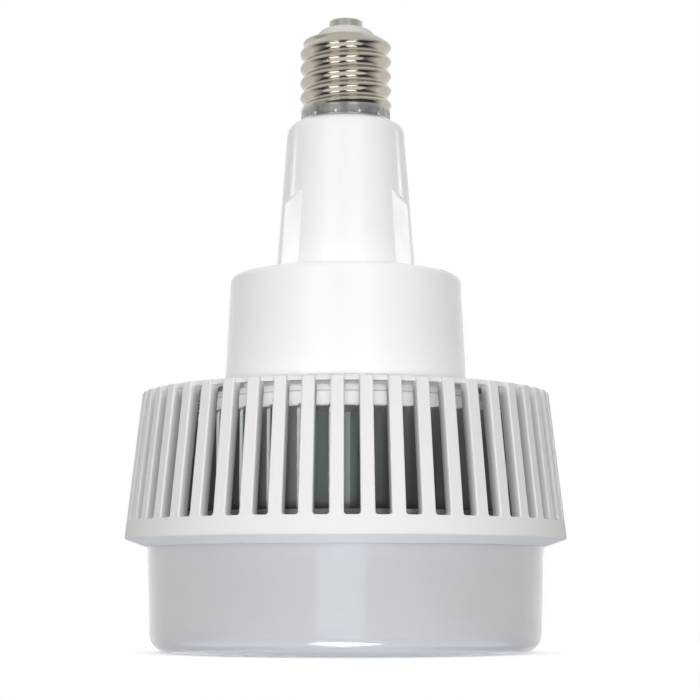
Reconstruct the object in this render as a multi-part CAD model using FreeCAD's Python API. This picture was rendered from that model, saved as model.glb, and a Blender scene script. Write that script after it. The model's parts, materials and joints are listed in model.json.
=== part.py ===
import FreeCAD, Part
import math
import os

# A high-bay LED lamp, in millimetres and degrees. It stands on its diffuser with the screw base up.
# Z runs up its axis from the centre of the diffuser's flat face, and its front is towards -Y.
# Angles named as places round the axis count from the front, positive towards +X.

# Diffuser cup
DIFFUSER_REVEAL = 43.0
DIFFUSER_RADIUS = 82.3
DIFFUSER_DRAFT = 1.5
DIFFUSER_CORNER = 7.5
DIFFUSER_WALL = 1.8
HOOK_COUNT = 8
HOOK_WIDTH = 10.0
HOOK_DEPTH = 1.4
HOOK_HEIGHT = 2.4
HOOK_ROOM = 3.3

# Slatted cowl
RIM_OVERHANG = 9.15
COWL_TAPER = 6.85
COWL_HEIGHT = 60.2
COWL_WALL = 4.4
COWL_EDGE = 1.0
BAR_EDGE = 0.6
LIP_RISE = 3.2
LIP_THICKNESS = 4.2
LIP_CLEARANCE = 0.3
SLOT_COUNT = 48
SLOT_WIDTH = 3.96
SLOT_SILL = 7.3
SLOT_HEAD = 1.7
SLOT_CORNER = 1.1
SLOT_RECESS = 1.3
PLATE_SLOPE = 7.0
PLATE_THICKNESS = 2.0
VENT_INNER_MARGIN = 2.0
VENT_OUTER_MARGIN = 3.5
VENT_WIDTH = 3.6
COLLAR_HEIGHT = 4.9
COLLAR_WALL = 2.1
COLLAR_CLEARANCE = 0.3

# Heat sink
BASE_PLATE_INSET = 0.3
BASE_PLATE_THICKNESS = 5.4
HUB_RADIUS = 26.0
HUB_BORE_RADIUS = 9.0
FIN_COUNT = 36
FIN_FIRST_ANGLE = 3.7
FIN_INSET = 10.0
FIN_THICKNESS = 1.4
FIN_CORNER = 4.0
FIN_EDGE = 0.4

# LED board under the heat sink
PAD_INSET = 2.0
PAD_THICKNESS = 0.5
LED_BOARD_MARGIN = 3.5
LED_BOARD_THICKNESS = 1.6
LED_BOARD_SCREW_COUNT = 6
LED_BOARD_SCREW_INSET = 5.0
LED_SIDE = 3.0
LED_HEIGHT = 0.7
LED_FIRST_RING = 22.0
LED_RING_STEP = 16.0
LED_RING_COUNT = 3
LED_SPACING = 12.0

# Driver tray under the drum's flange
TRAY_HEIGHT = 6.2
TRAY_FLOOR = 2.5
TRAY_WALL = 2.2
TRAY_EDGE = 0.8
TRAY_WIRE_HOLE_RADIUS = 8.0
POST_COUNT = 3
POST_INSET = 6.0
POST_RADIUS = 3.2
POST_HEIGHT = 8.3
HEAD_POCKET_DEPTH = 3.0

# Driver drum
FLANGE_WIDTH = 7.0
FLANGE_THICKNESS = 2.2
DRUM_HEIGHT = 52.9
DRUM_BOTTOM_RADIUS = 51.0
DRUM_TAPER = 2.55
DRUM_WALL = 2.4
DRUM_EDGE = 2.6
DRUM_WIRE_HOLE_RADIUS = 14.0

# Neck
NECK_HEIGHT = 66.3
NECK_TAPER = 4.95
NECK_SHOULDER_WIDTH = 5.6
NECK_WALL = 2.2
NECK_SHOULDER = 3.0
NECK_EDGE = 5.2
NECK_BOSS_RADIUS = 3.4
NECK_BOSS_INSET = 5.55
NECK_BOSS_HEIGHT = 14.0
FACET_ANGLE = 56.5
FACET_DEPTH = 0.7
FACET_HEIGHT = 32.8
FACET_SLANT = 24.0
SPIGOT_DROP = 6.6
SPIGOT_WALL = 2.2
SPIGOT_CLEARANCE = 0.3
SPIGOT_NOTCH_WIDTH = 3.4
SPIGOT_NOTCH_DEPTH = 8.0

# Screw base, a standard 39 mm mogul cap
THREAD_OUTER_DIAMETER = 39.0
THREAD_DEPTH = 1.65
THREAD_PITCH = 6.35
THREAD_START = 5.0
THREAD_FADE = 3.0
THREAD_CREST = 1.9
SHELL_HEIGHT = 37.0
SHELL_SHEET = 0.5
SHELL_MOUTH_INSET = 5.9
SHELL_DOME = 2.6
SKIRT_INSET = 0.5
SKIRT_CURL = 0.7
SKIRT_CURL_HEIGHT = 1.4
STAKE_COUNT = 12
STAKE_FIRST_ANGLE = -14.3
STAKE_RADIUS = 1.2
STAKE_DEPTH = 0.35
STAKE_HEIGHT = 2.2

# Insulator and contact at the tip
INSULATOR_RISE = 4.8
INSULATOR_CLEARANCE = 0.2
INSULATOR_FLANGE_LIP = 1.6
INSULATOR_FLANGE_THICKNESS = 3.2
INSULATOR_LEDGE = 0.9
INSULATOR_BULGE = 0.9
CONTACT_RADIUS = 7.1
CONTACT_HEIGHT = 3.4
CONTACT_EDGE = 0.6
STEM_RADIUS = 1.6
STEM_LENGTH = 15.0
STEM_CLEARANCE = 0.1

# The one size of screw used throughout, and how it sits in its holes
SCREW_SHANK_RADIUS = 1.5
SCREW_HEAD_RADIUS = 2.75
SCREW_HEAD_HEIGHT = 2.0
SCREW_HEAD_EDGE = 0.7
SCREW_RECESS_LENGTH = 3.0
SCREW_RECESS_WIDTH = 0.8
SCREW_RECESS_DEPTH = 1.0
SCREW_PILOT_CLEARANCE = 0.05
SCREW_HOLE_CLEARANCE = 0.25
SCREW_HEAD_CLEARANCE = 0.35
SCREW_TIP_GAP = 0.4
SCREW_SKIN = 0.8
SCREW_BOSS_WALL = 0.6
SCREW_COUNT = 4
HOUSING_SCREW_OFFSET = 2.9
HOUSING_SCREW_FIRST_ANGLE = 45.0
HEAT_SINK_SCREW_CIRCLE = 17.5
HEAT_SINK_SCREW_LENGTH = 12.0
NECK_SCREW_LENGTH = 12.0
DRIVER_BOARD_SCREW_LENGTH = 7.0

# Driver board and the components that stand on it, with their places on the board
DRIVER_BOARD_MARGIN = 2.05
DRIVER_BOARD_THICKNESS = 1.6
LEG_RADIUS = 0.5
LEG_HEIGHT = 3.0
CORE_LENGTH = 30.0
CORE_WIDTH = 13.0
CORE_HEIGHT = 26.0
WINDING_LENGTH = 21.0
WINDING_WIDTH = 24.0
WINDING_HEIGHT = 17.0
WINDING_EDGE = 2.5
BOBBIN_BASE_HEIGHT = 3.0
TRANSFORMER_PLACE = (8.0, 12.0)
BULK_CAPACITOR_RADIUS = 9.0
BULK_CAPACITOR_HEIGHT = 32.0
BULK_CAPACITOR_PLACES = ((-8.0, -24.0), (14.0, -22.0))
OUTPUT_CAPACITOR_RADIUS = 6.5
OUTPUT_CAPACITOR_HEIGHT = 25.0
OUTPUT_CAPACITOR_PLACE = (33.0, -8.0)
CAN_GROOVE = 0.5
CAN_GROOVE_HEIGHT = 2.5
CAN_EDGE = 0.8
FILM_LENGTH = 18.0
FILM_WIDTH = 8.5
FILM_HEIGHT = 15.0
FILM_EDGE = 1.0
FILM_PLACE = (-19.0, 27.0)
CHOKE_RING_RADIUS = 8.0
CHOKE_WIRE_RADIUS = 3.6
CHOKE_BASE_LENGTH = 9.0
CHOKE_BASE_WIDTH = 15.0
CHOKE_BASE_HEIGHT = 2.0
CHOKE_PLACE = (-20.0, -2.0)
RECTIFIER_LENGTH = 4.0
RECTIFIER_WIDTH = 15.0
RECTIFIER_HEIGHT = 11.0
RECTIFIER_LEG_STEP = 3.8
RECTIFIER_LEG_COUNT = 4
RECTIFIER_PLACE = (-11.5, 6.0)
FUSE_RADIUS = 4.25
FUSE_HEIGHT = 7.7
FUSE_EDGE = 0.8
FUSE_PLACE = (-34.0, 4.0)
TRANSISTOR_LENGTH = 4.5
TRANSISTOR_WIDTH = 10.0
TRANSISTOR_HEIGHT = 9.0
TRANSISTOR_TAB_THICKNESS = 1.3
TRANSISTOR_TAB_HEIGHT = 15.5
TRANSISTOR_TAB_HOLE_RADIUS = 1.8
TRANSISTOR_LEG_STEP = 2.54
TRANSISTOR_LEG_COUNT = 3
TRANSISTOR_PLACE = (31.0, 6.0)

# Leads inside the lamp
LEAD_RADIUS = 0.9
LEAD_BEND = 6.0
LEAD_TURN_HEIGHT = 24.0
LEAD_OFFSET = 7.0
LEAD_TIP_GAP = 0.2
LEAD_LAST_RUN = 8.0
LIVE_LEAD_PLACE = (-36.0, -6.0)
NEUTRAL_LEAD_PLACE = (-33.0, -14.0)
NEUTRAL_LEAD_ANGLE = -90.0
NEUTRAL_LEAD_DROP = 4.0
LED_LEAD_OFFSET = 3.0

# Rows of control points that carry the rolled thread
THREAD_POINTS_ROUND = 36
THREAD_POINTS_PER_PITCH = 10
DOME_POINTS = 6

# Radii that follow from the sizes above
lip_radius = DIFFUSER_RADIUS + LIP_CLEARANCE
rim_radius = lip_radius + RIM_OVERHANG
cowl_top_radius = rim_radius - COWL_TAPER
cowl_inner_top_radius = cowl_top_radius - COWL_WALL
base_plate_radius = DIFFUSER_RADIUS - BASE_PLATE_INSET
fin_radius = base_plate_radius - FIN_INSET
led_board_radius = DIFFUSER_RADIUS - DIFFUSER_WALL - LED_BOARD_MARGIN
pad_radius = led_board_radius - PAD_INSET
led_board_screw_circle = pad_radius - LED_BOARD_SCREW_INSET
flange_radius = DRUM_BOTTOM_RADIUS + FLANGE_WIDTH
drum_top_radius = DRUM_BOTTOM_RADIUS - DRUM_TAPER
collar_radius = DRUM_BOTTOM_RADIUS + COLLAR_CLEARANCE
vent_inner_radius = flange_radius + VENT_INNER_MARGIN
vent_outer_radius = cowl_inner_top_radius - VENT_OUTER_MARGIN
housing_screw_circle = DRUM_BOTTOM_RADIUS + HOUSING_SCREW_OFFSET
driver_board_radius = drum_top_radius - DRUM_WALL - DRIVER_BOARD_MARGIN
post_circle = driver_board_radius - POST_INSET
thread_root_radius = THREAD_OUTER_DIAMETER / 2 - THREAD_DEPTH
thread_mean_radius = THREAD_OUTER_DIAMETER / 2 - THREAD_DEPTH / 2
skirt_radius = THREAD_OUTER_DIAMETER / 2 - SKIRT_INSET
shell_mouth_radius = THREAD_OUTER_DIAMETER / 2 - SHELL_MOUTH_INSET
insulator_flange_radius = shell_mouth_radius + INSULATOR_FLANGE_LIP
insulator_top_radius = CONTACT_RADIUS + INSULATOR_LEDGE
neck_top_radius = skirt_radius + NECK_SHOULDER_WIDTH
neck_bottom_radius = neck_top_radius + NECK_TAPER
neck_boss_circle = neck_bottom_radius - NECK_BOSS_INSET
spigot_radius = thread_root_radius - SHELL_SHEET - SPIGOT_CLEARANCE
spigot_bore_radius = spigot_radius - SPIGOT_WALL
screw_hole_radius = SCREW_SHANK_RADIUS + SCREW_HOLE_CLEARANCE
screw_pilot_radius = SCREW_SHANK_RADIUS + SCREW_PILOT_CLEARANCE
screw_pocket_radius = SCREW_HEAD_RADIUS + SCREW_HEAD_CLEARANCE
screw_boss_radius = screw_pocket_radius + SCREW_BOSS_WALL

# Heights that follow from the sizes above
lip_top_z = DIFFUSER_REVEAL + LIP_THICKNESS
rim_z = DIFFUSER_REVEAL + LIP_RISE
cowl_top_z = rim_z + COWL_HEIGHT
slot_bottom_z = rim_z + SLOT_SILL
slot_top_z = cowl_top_z - SLOT_HEAD
base_plate_z = lip_top_z + HOOK_ROOM
fin_z = base_plate_z + BASE_PLATE_THICKNESS


def plate_z(radius):
    """Height of the cowl's conical top at a radius."""
    return cowl_top_z + (cowl_top_radius - radius) * math.tan(math.radians(PLATE_SLOPE))


flange_top_z = plate_z(collar_radius) - COLLAR_HEIGHT
flange_z = flange_top_z - FLANGE_THICKNESS
tray_z = flange_z - TRAY_HEIGHT
tray_floor_z = tray_z + TRAY_FLOOR
driver_board_z = tray_floor_z + POST_HEIGHT
driver_board_top_z = driver_board_z + DRIVER_BOARD_THICKNESS
drum_top_z = flange_z + DRUM_HEIGHT
drum_roof_z = drum_top_z - DRUM_WALL
neck_top_z = drum_top_z + NECK_HEIGHT
shell_top_z = neck_top_z + SHELL_HEIGHT
spigot_top_z = shell_top_z - SPIGOT_DROP
contact_z = shell_top_z + INSULATOR_RISE
stem_z = contact_z - STEM_LENGTH
pad_z = base_plate_z - PAD_THICKNESS
led_board_z = pad_z - LED_BOARD_THICKNESS

ORIGIN = FreeCAD.Vector(0, 0, 0)
AXIS = FreeCAD.Vector(0, 0, 1)
SAME_PLACE = 1e-3


def turned(outline, sweep=360.0):
    """Turn a closed outline of (radius, height) points about the axis."""
    points = [FreeCAD.Vector(radius, 0, height) for radius, height in outline]
    face = Part.Face(Part.makePolygon(points + points[:1]))
    return face.revolve(ORIGIN, AXIS, sweep)


def sector(outline, width):
    """A turned piece that covers only a width in degrees, centred on +X."""
    piece = turned(outline, width)
    piece.rotate(ORIGIN, AXIS, -width / 2)
    return piece


def placed(piece, angle):
    """Turn a piece that is modelled on +X to a place round the axis."""
    turn = piece.copy()
    turn.rotate(ORIGIN, AXIS, angle - 90.0)
    return turn


def around(piece, count, first=0.0):
    """Equal turns of a piece that is modelled on +X."""
    return [placed(piece, first + index * 360.0 / count) for index in range(count)]


def post(radius, circle, low, high):
    """An upright cylinder on +X between two heights."""
    return Part.makeCylinder(radius, high - low, FreeCAD.Vector(circle, 0, low))


def block(length, width, height, place, low):
    """An upright box centred on a place."""
    corner = FreeCAD.Vector(place[0] - length / 2, place[1] - width / 2, low)
    return Part.makeBox(length, width, height, corner)


def rounded_ring(solid, size, radius, height):
    """Round the circular edge at a radius and height."""
    rings = []
    for edge in solid.Edges:
        if not isinstance(edge.Curve, Part.Circle):
            continue
        off_radius = abs(edge.Curve.Radius - radius)
        off_height = abs(edge.Curve.Center.z - height)
        if max(off_radius, off_height) < SAME_PLACE:
            rings.append(edge)
    return solid.makeFillet(size, rings)


def upright_edges(solid):
    """The straight edges of a solid that run along the axis."""
    upright = []
    for edge in solid.Edges:
        rise = abs(edge.Vertexes[-1].Point.z - edge.Vertexes[0].Point.z)
        if abs(rise - edge.Length) < SAME_PLACE:
            upright.append(edge)
    return upright


def screw(length):
    """A cross-recessed pan-head screw on the axis, its head below height 0 and its shank above."""
    outline = [
        (0, -SCREW_HEAD_HEIGHT),
        (SCREW_HEAD_RADIUS, -SCREW_HEAD_HEIGHT),
        (SCREW_HEAD_RADIUS, 0),
        (SCREW_SHANK_RADIUS, 0),
        (SCREW_SHANK_RADIUS, length - SCREW_SHANK_RADIUS),
        (0, length),
    ]
    body = rounded_ring(turned(outline), SCREW_HEAD_EDGE, SCREW_HEAD_RADIUS, -SCREW_HEAD_HEIGHT)
    recess_z = -SCREW_HEAD_HEIGHT
    along = block(SCREW_RECESS_LENGTH, SCREW_RECESS_WIDTH, SCREW_RECESS_DEPTH, (0, 0), recess_z)
    across = block(SCREW_RECESS_WIDTH, SCREW_RECESS_LENGTH, SCREW_RECESS_DEPTH, (0, 0), recess_z)
    return body.cut(along.fuse(across))


def screw_ring(length, circle, seat_z, count, first=0.0, driven_down=False):
    """Screws on a circle, with the underside of each head at seat_z."""
    one = screw(length)
    if driven_down:
        one.rotate(ORIGIN, FreeCAD.Vector(1, 0, 0), 180)
    one.translate(FreeCAD.Vector(circle, 0, seat_z))
    return Part.makeCompound(around(one, count, first))


def diffuser():
    """Opal cup with a flat face, a rounded corner and hooks that catch on the cowl's lip."""
    face_radius = DIFFUSER_RADIUS - DIFFUSER_DRAFT
    outside = turned([
        (0, 0),
        (face_radius, 0),
        (DIFFUSER_RADIUS, DIFFUSER_REVEAL),
        (DIFFUSER_RADIUS, base_plate_z),
        (0, base_plate_z),
    ])
    outside = rounded_ring(outside, DIFFUSER_CORNER, face_radius, 0)
    inside = turned([
        (0, DIFFUSER_WALL),
        (face_radius - DIFFUSER_WALL, DIFFUSER_WALL),
        (DIFFUSER_RADIUS - DIFFUSER_WALL, DIFFUSER_REVEAL),
        (DIFFUSER_RADIUS - DIFFUSER_WALL, base_plate_z),
        (0, base_plate_z),
    ])
    inner_corner = DIFFUSER_CORNER - DIFFUSER_WALL
    inside = rounded_ring(inside, inner_corner, face_radius - DIFFUSER_WALL, DIFFUSER_WALL)
    hook_z = lip_top_z + LIP_CLEARANCE
    hook_root = DIFFUSER_RADIUS - DIFFUSER_WALL / 2
    hook = sector([
        (hook_root, hook_z),
        (DIFFUSER_RADIUS + HOOK_DEPTH, hook_z),
        (hook_root, hook_z + HOOK_HEIGHT),
    ], HOOK_WIDTH)
    return outside.cut(inside).fuse(around(hook, HOOK_COUNT))


def slot_cutter():
    """One window of the cowl, with rounded bottom corners, and the recess above it."""
    inner_radius = cowl_top_radius - 2 * COWL_WALL
    outer_radius = rim_radius + COWL_WALL
    window = sector([
        (inner_radius, slot_bottom_z),
        (outer_radius, slot_bottom_z),
        (outer_radius, slot_top_z),
        (inner_radius, slot_top_z),
    ], SLOT_WIDTH)
    sill_edges = []
    for edge in window.Edges:
        heights = [vertex.Point.z for vertex in edge.Vertexes]
        straight = isinstance(edge.Curve, Part.Line)
        if straight and max(heights) - slot_bottom_z < SAME_PLACE:
            sill_edges.append(edge)
    window = window.makeFillet(SLOT_CORNER, sill_edges)
    recess_radius = cowl_top_radius - SLOT_RECESS
    above_z = plate_z(0)
    recess = sector([
        (recess_radius, slot_top_z),
        (outer_radius, slot_top_z),
        (outer_radius, above_z),
        (recess_radius - COWL_EDGE, above_z),
        (recess_radius - COWL_EDGE, plate_z(recess_radius)),
        (recess_radius, plate_z(recess_radius) - COWL_EDGE),
    ], SLOT_WIDTH)
    return window.fuse(recess)


def slot_rims(cowl):
    """The cowl's outer edges round its slots and along its top."""
    rims = []
    for edge in cowl.Edges:
        on_cone = True
        for vertex in edge.Vertexes:
            point = vertex.Point
            cone_radius = rim_radius - (point.z - rim_z) * COWL_TAPER / COWL_HEIGHT
            off_cone = abs(math.hypot(point.x, point.y) - cone_radius)
            above_sill = point.z > slot_bottom_z - SAME_PLACE
            on_cone = on_cone and above_sill and off_cone < SAME_PLACE
        if on_cone:
            rims.append(edge)
    return rims


def vent_cowl():
    """Conical slatted cowl, moulded with its vented top, its collar and the lip under its rim."""
    taper = COWL_TAPER / COWL_HEIGHT
    inner_low_radius = rim_radius - COWL_WALL - taper * (lip_top_z - rim_z)
    collar_outer_radius = collar_radius + COLLAR_WALL
    body = turned([
        (lip_radius, DIFFUSER_REVEAL),
        (rim_radius, rim_z),
        (cowl_top_radius, cowl_top_z),
        (collar_radius, plate_z(collar_radius)),
        (collar_radius, flange_top_z),
        (collar_outer_radius, flange_top_z),
        (collar_outer_radius, plate_z(collar_outer_radius) - PLATE_THICKNESS),
        (cowl_inner_top_radius, plate_z(cowl_inner_top_radius) - PLATE_THICKNESS),
        (inner_low_radius, lip_top_z),
        (lip_radius, lip_top_z),
    ])
    body = rounded_ring(body, COWL_EDGE, rim_radius, rim_z)
    body = body.cut(around(slot_cutter(), SLOT_COUNT)).removeSplitter()
    body = body.makeFillet(BAR_EDGE, slot_rims(body))
    boss_top_z = plate_z(housing_screw_circle) - SCREW_SKIN
    boss = post(screw_boss_radius, housing_screw_circle, flange_top_z, boss_top_z)
    drum_passage = post(collar_radius, 0, flange_top_z, plate_z(0))
    bosses = [one.cut(drum_passage) for one in around(boss, SCREW_COUNT, HOUSING_SCREW_FIRST_ANGLE)]
    body = body.fuse(bosses)
    pilot = post(screw_pilot_radius, housing_screw_circle, flange_top_z, boss_top_z)
    vent = sector([
        (vent_inner_radius, slot_bottom_z),
        (vent_outer_radius, slot_bottom_z),
        (vent_outer_radius, plate_z(0)),
        (vent_inner_radius, plate_z(0)),
    ], VENT_WIDTH)
    half_step = 180.0 / SLOT_COUNT
    holes = around(vent, SLOT_COUNT, half_step)
    holes += around(pilot, SCREW_COUNT, HOUSING_SCREW_FIRST_ANGLE)
    return body.cut(holes)


def fin():
    """One upright fin on +X, from inside the hub to the fin circle, with a rounded corner and edges."""
    root = (HUB_BORE_RADIUS + HUB_RADIUS) / 2
    low = fin_z - BASE_PLATE_THICKNESS / 2
    corner = FIN_CORNER * (1 - math.cos(math.radians(45)))
    half = -FIN_THICKNESS / 2
    bend_start = FreeCAD.Vector(fin_radius, half, tray_z - FIN_CORNER)
    bend_middle = FreeCAD.Vector(fin_radius - corner, half, tray_z - corner)
    bend_end = FreeCAD.Vector(fin_radius - FIN_CORNER, half, tray_z)
    foot = FreeCAD.Vector(fin_radius, half, low)
    root_foot = FreeCAD.Vector(root, half, low)
    root_top = FreeCAD.Vector(root, half, tray_z)
    bend = Part.Arc(bend_start, bend_middle, bend_end).toShape()
    straight = Part.makePolygon([bend_end, root_top, root_foot, foot, bend_start])
    face = Part.Face(Part.Wire([bend] + straight.Edges))
    blade = face.extrude(FreeCAD.Vector(0, FIN_THICKNESS, 0))
    outer_edges = []
    for edge in blade.Edges:
        reaches = [vertex.Point.x for vertex in edge.Vertexes]
        across = abs(edge.Vertexes[0].Point.y - edge.Vertexes[-1].Point.y)
        if across < SAME_PLACE and fin_radius - max(reaches) < SAME_PLACE and min(reaches) > HUB_RADIUS:
            outer_edges.append(edge)
    return blade.makeFillet(FIN_EDGE, outer_edges)


def heat_sink():
    """Aluminium casting: a round base plate, a bored hub and radial fins."""
    plate = post(base_plate_radius, 0, base_plate_z, fin_z)
    hub = post(HUB_RADIUS, 0, base_plate_z, tray_z)
    fins = around(fin(), FIN_COUNT, FIN_FIRST_ANGLE)
    body = plate.fuse([hub] + fins)
    hub_pilot_depth = HEAT_SINK_SCREW_LENGTH - TRAY_FLOOR + SCREW_TIP_GAP
    hub_pilot = post(screw_pilot_radius, HEAT_SINK_SCREW_CIRCLE, tray_z - hub_pilot_depth, tray_z)
    board_pilot_top = fin_z - SCREW_SKIN
    board_pilot = post(screw_pilot_radius, led_board_screw_circle, base_plate_z, board_pilot_top)
    holes = [post(HUB_BORE_RADIUS, 0, base_plate_z, tray_z)]
    holes += around(hub_pilot, SCREW_COUNT)
    holes += around(board_pilot, LED_BOARD_SCREW_COUNT)
    return body.cut(holes)


def led_disc(radius, low, high):
    """A disc under the heat sink, with a hole for the leads and holes for the board's screws."""
    screw_hole = post(screw_hole_radius, led_board_screw_circle, low, high)
    return post(radius, 0, low, high).cut(around(screw_hole, LED_BOARD_SCREW_COUNT))


def thermal_pad():
    """Thin pad between the LED board and the heat sink, open under the hub's bore."""
    return led_disc(pad_radius, pad_z, base_plate_z).cut(post(HUB_BORE_RADIUS, 0, pad_z, base_plate_z))


def led_board():
    """Round metal-core board."""
    return led_disc(led_board_radius, led_board_z, pad_z)


def led_packages():
    """LEDs in rings on the board's lower face."""
    packages = []
    for ring in range(LED_RING_COUNT):
        radius = LED_FIRST_RING + ring * LED_RING_STEP
        count = round(2 * math.pi * radius / LED_SPACING)
        package = block(LED_SIDE, LED_SIDE, LED_HEIGHT, (radius, 0), led_board_z - LED_HEIGHT)
        packages += around(package, count)
    return Part.makeCompound(packages)


def led_board_screws():
    """Screws that press the LED board to the heat sink."""
    length = fin_z - SCREW_SKIN - SCREW_TIP_GAP - led_board_z
    return screw_ring(length, led_board_screw_circle, led_board_z, LED_BOARD_SCREW_COUNT)


def driver_tray():
    """Shallow round tray on the fins, with posts for the driver board and pockets for screw heads."""
    body = turned([
        (0, tray_z),
        (flange_radius, tray_z),
        (flange_radius, flange_z),
        (flange_radius - TRAY_WALL, flange_z),
        (flange_radius - TRAY_WALL, tray_floor_z),
        (0, tray_floor_z),
    ])
    body = rounded_ring(body, TRAY_EDGE, flange_radius, tray_z)
    boss = post(screw_boss_radius, housing_screw_circle, tray_floor_z, flange_z)
    stand = post(POST_RADIUS, post_circle, tray_floor_z, driver_board_z)
    bosses = around(boss, SCREW_COUNT, HOUSING_SCREW_FIRST_ANGLE)
    body = body.fuse(bosses + around(stand, POST_COUNT))
    pocket = post(screw_pocket_radius, housing_screw_circle, tray_z, tray_z + HEAD_POCKET_DEPTH)
    passage = post(screw_hole_radius, housing_screw_circle, tray_z, flange_z)
    floor_hole = post(screw_hole_radius, HEAT_SINK_SCREW_CIRCLE, tray_z, tray_floor_z)
    stand_depth = DRIVER_BOARD_SCREW_LENGTH - DRIVER_BOARD_THICKNESS + SCREW_TIP_GAP
    stand_pilot = post(screw_pilot_radius, post_circle, driver_board_z - stand_depth, driver_board_z)
    holes = [post(TRAY_WIRE_HOLE_RADIUS, 0, tray_z, tray_floor_z)]
    holes += around(pocket.fuse(passage), SCREW_COUNT, HOUSING_SCREW_FIRST_ANGLE)
    holes += around(floor_hole, SCREW_COUNT)
    holes += around(stand_pilot, POST_COUNT)
    return body.cut(holes)


def driver_housing():
    """White drum with a rounded top edge and a flange that carries the cowl's collar."""
    outside = turned([
        (0, flange_z),
        (flange_radius, flange_z),
        (flange_radius, flange_top_z),
        (DRUM_BOTTOM_RADIUS, flange_top_z),
        (drum_top_radius, drum_top_z),
        (0, drum_top_z),
    ])
    outside = rounded_ring(outside, DRUM_EDGE, drum_top_radius, drum_top_z)
    inside = turned([
        (0, flange_z),
        (DRUM_BOTTOM_RADIUS - DRUM_WALL, flange_z),
        (drum_top_radius - DRUM_WALL, drum_roof_z),
        (0, drum_roof_z),
    ])
    flange_hole = post(screw_hole_radius, housing_screw_circle, flange_z, flange_top_z)
    roof_hole = post(screw_hole_radius, neck_boss_circle, drum_roof_z, drum_top_z)
    holes = [inside, post(DRUM_WIRE_HOLE_RADIUS, 0, drum_roof_z, drum_top_z)]
    holes += around(flange_hole, SCREW_COUNT, HOUSING_SCREW_FIRST_ANGLE)
    holes += around(roof_hole, SCREW_COUNT)
    return outside.cut(holes)


def housing_screws():
    """Screws that clamp the tray, the drum's flange and the cowl's collar together."""
    seat_z = tray_z + HEAD_POCKET_DEPTH
    length = plate_z(housing_screw_circle) - SCREW_SKIN - SCREW_TIP_GAP - seat_z
    return screw_ring(length, housing_screw_circle, seat_z, SCREW_COUNT, HOUSING_SCREW_FIRST_ANGLE)


def heat_sink_screws():
    """Screws that hold the tray down on the heat sink's hub."""
    return screw_ring(HEAT_SINK_SCREW_LENGTH, HEAT_SINK_SCREW_CIRCLE, tray_floor_z, SCREW_COUNT,
                      driven_down=True)


def facet_cutter(slant):
    """Tool on +X that planes one grip facet along the neck's slope, with a slanted top end."""
    reach = neck_bottom_radius / 2
    slope = math.degrees(math.atan2(NECK_TAPER, NECK_HEIGHT))
    lean = reach * math.tan(math.radians(slant))
    outline = [
        FreeCAD.Vector(0, -reach, -reach),
        FreeCAD.Vector(0, reach, -reach),
        FreeCAD.Vector(0, reach, FACET_HEIGHT - lean),
        FreeCAD.Vector(0, -reach, FACET_HEIGHT + lean),
    ]
    tool = Part.Face(Part.makePolygon(outline + outline[:1])).extrude(FreeCAD.Vector(reach, 0, 0))
    tool.rotate(ORIGIN, FreeCAD.Vector(0, 1, 0), -slope)
    tool.translate(FreeCAD.Vector(neck_bottom_radius - FACET_DEPTH, 0, drum_top_z))
    return tool


def neck_housing():
    """Tapered white neck with a rounded shoulder, grip facets and the spigot for the screw shell."""
    outside = turned([
        (0, drum_top_z),
        (neck_bottom_radius, drum_top_z),
        (neck_top_radius, neck_top_z),
        (0, neck_top_z),
    ])
    outside = rounded_ring(outside, NECK_EDGE, neck_top_radius, neck_top_z)
    away_clockwise = facet_cutter(FACET_SLANT)
    away_counter = facet_cutter(-FACET_SLANT)
    facets = [
        placed(away_clockwise, FACET_ANGLE),
        placed(away_counter, -FACET_ANGLE),
        placed(away_counter, 180.0 - FACET_ANGLE),
        placed(away_clockwise, 180.0 + FACET_ANGLE),
    ]
    inside = turned([
        (0, drum_top_z),
        (neck_bottom_radius - NECK_WALL, drum_top_z),
        (neck_top_radius - NECK_WALL, neck_top_z - NECK_SHOULDER),
        (0, neck_top_z - NECK_SHOULDER),
    ])
    boss_top_z = drum_top_z + NECK_BOSS_HEIGHT
    boss = post(NECK_BOSS_RADIUS, neck_boss_circle, drum_top_z, boss_top_z)
    pilot_top_z = drum_roof_z + NECK_SCREW_LENGTH + SCREW_TIP_GAP
    pilot = post(screw_pilot_radius, neck_boss_circle, drum_top_z, pilot_top_z)
    bosses = [one.common(outside) for one in around(boss, SCREW_COUNT)]
    spigot = post(spigot_radius, 0, neck_top_z, spigot_top_z)
    spigot_bore = post(spigot_bore_radius, 0, neck_top_z - NECK_SHOULDER, spigot_top_z)
    notch = Part.makeBox(spigot_radius * 2, SPIGOT_NOTCH_WIDTH, SPIGOT_NOTCH_DEPTH)
    notch.translate(FreeCAD.Vector(0, -SPIGOT_NOTCH_WIDTH / 2, spigot_top_z - SPIGOT_NOTCH_DEPTH))
    cone = outside.cut(facets + [inside])
    body = cone.fuse(bosses + [spigot])
    return body.cut([spigot_bore, placed(notch, NEUTRAL_LEAD_ANGLE)] + around(pilot, SCREW_COUNT))


def neck_screws():
    """Screws that hold the neck to the drum, driven up from inside it."""
    return screw_ring(NECK_SCREW_LENGTH, neck_boss_circle, drum_roof_z, SCREW_COUNT)


def ease(share):
    """A smooth step from 0 to 1."""
    share = min(max(share, 0.0), 1.0)
    return share * share * (3 - 2 * share)


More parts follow.
